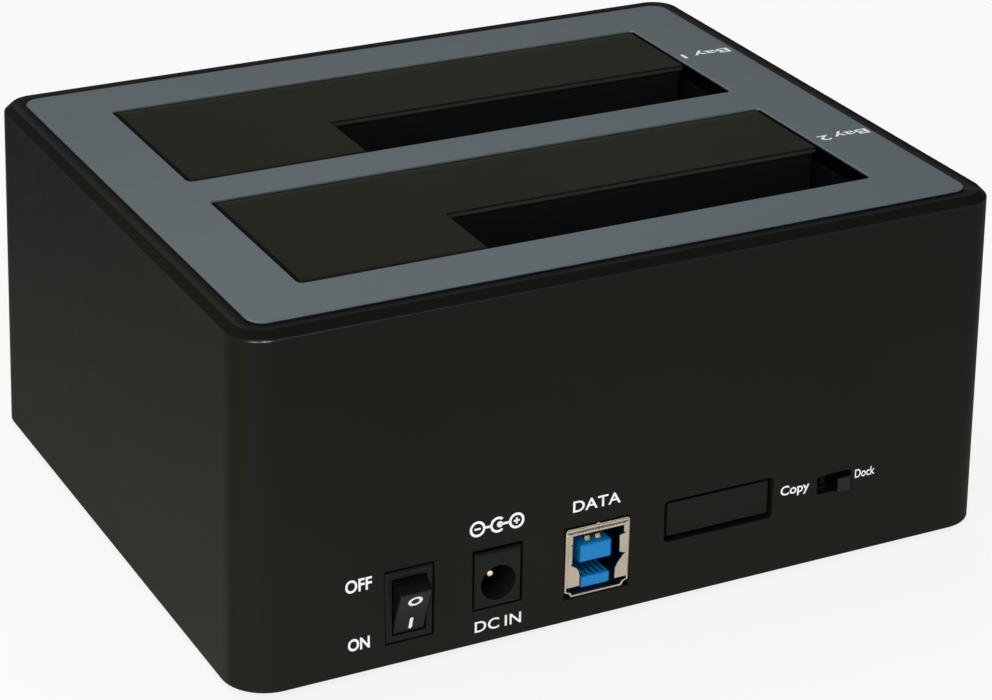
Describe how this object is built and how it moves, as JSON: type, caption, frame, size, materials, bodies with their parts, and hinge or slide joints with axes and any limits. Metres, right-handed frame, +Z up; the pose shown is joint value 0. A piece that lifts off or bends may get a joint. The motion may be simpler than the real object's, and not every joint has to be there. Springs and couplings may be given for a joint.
{
  "type": "drive duplicator",
  "caption": "Low box-shaped dock and copier for hard drives, with sprung flaps over the bays in its top and its power inlet, data socket and switches at the rear.",
  "frame": {"origin": "bottom centre of the whole part, on the plane of the feet", "axes": "+Z up; -Y is the front panel with the start button, +Y the rear panel with the sockets and switches; +X to the right as seen from the front"},
  "size_m": [0.1408, 0.1178, 0.0629],
  "materials": {
    "case_black": "matte fine-textured dark plastic",
    "plate_grey": "satin blue-grey",
    "flap_black": "matte dark plastic",
    "well_black": "matte dark plastic",
    "cover_black": "matte dark plastic",
    "screw_black": "black zinc",
    "foot_rubber": "soft matte rubber",
    "pin_steel": "drawn wire",
    "spring_steel": "spring wire",
    "board_green": "solder mask",
    "board_screw_steel": "zinc plated",
    "socket_black": "moulded connector",
    "contact_gold": "gold plated",
    "jack_black": "moulded satin black",
    "jack_brass": "brass",
    "shell_nickel": "nickel plated",
    "insulator_blue": "moulded blue",
    "rocker_black": "satin black",
    "bezel_black": "satin black",
    "switch_can": "tinned",
    "switch_base": "moulded",
    "knob_grey": "dark grey",
    "blank_black": "matte",
    "button_black": "satin",
    "pipe_clear": "frosted clear",
    "led_white": "resin",
    "chip_black": "epoxy",
    "inductor_grey": "ferrite",
    "capacitor_can": "bare can",
    "crystal_can": "plated"
  },
  "bodies": {
    "case": {"housing": "case_black", "top_plate": "plate_grey", "base_cover": "cover_black", "base_screws": "screw_black", "rubber_feet": "foot_rubber", "target_bay_well": "well_black", "source_bay_well": "well_black", "target_hinge_pin": "pin_steel", "source_hinge_pin": "pin_steel", "main_board": "board_green", "board_screws": "board_screw_steel", "target_sata_socket": "socket_black", "source_sata_socket": "socket_black", "target_sata_contacts": "contact_gold", "source_sata_contacts": "contact_gold", "dc_jack_body": "jack_black", "dc_jack_pin": "jack_brass", "dc_jack_contact": "jack_brass", "usb_shell": "shell_nickel", "usb_insulator": "insulator_blue", "usb_contacts": "contact_gold", "rocker_frame": "bezel_black", "rocker_terminals": "jack_brass", "slide_switch_can": "switch_can", "slide_switch_base": "switch_base", "riser_board": "board_green", "riser_header": "socket_black", "port_blank": "blank_black", "start_switch_body": "switch_base", "front_board": "board_green", "front_header": "socket_black", "progress_light_pipe": "pipe_clear", "activity_light_pipe": "pipe_clear", "status_leds": "led_white", "bridge_chips": "chip_black", "power_inductors": "inductor_grey", "filter_capacitors": "capacitor_can", "clock_crystal": "crystal_can"},
    "target_flap": {"target_flap": "flap_black", "target_flap_spring": "spring_steel"},
    "source_flap": {"source_flap": "flap_black", "source_flap_spring": "spring_steel"},
    "rocker": {"rocker": "rocker_black"},
    "mode_knob": {"slide_knob": "knob_grey"},
    "start_button": {"start_button": "button_black", "start_switch_plunger": "switch_base"}
  },
  "joints": [
    {"name": "target_flap_hinge", "type": "hinge", "parent": "case", "child": "target_flap", "pos_m": [0, 0.00585, 0.0604], "axis": [-1, 0, 0], "range_deg": [0, 88], "stiffness_Nm_per_rad": 0.004, "springref_deg": -57.3},
    {"name": "source_flap_hinge", "type": "hinge", "parent": "case", "child": "source_flap", "pos_m": [0, -0.03975, 0.0604], "axis": [-1, 0, 0], "range_deg": [0, 88], "stiffness_Nm_per_rad": 0.004, "springref_deg": -57.3},
    {"name": "power_rocker_hinge", "type": "hinge", "parent": "case", "child": "rocker", "pos_m": [0.0412, 0.05525, 0.0117], "axis": [1, 0, 0], "range_deg": [0, 38.8]},
    {"name": "mode_slide", "type": "slide", "parent": "case", "child": "mode_knob", "axis": [1, 0, 0], "range_m": [0, 0.003]},
    {"name": "start_button_press", "type": "slide", "parent": "case", "child": "start_button", "axis": [0, 1, 0], "range_m": [0, 0.0005], "stiffness_N_per_m": 2000, "springref_m": -0.0003}
  ]
}
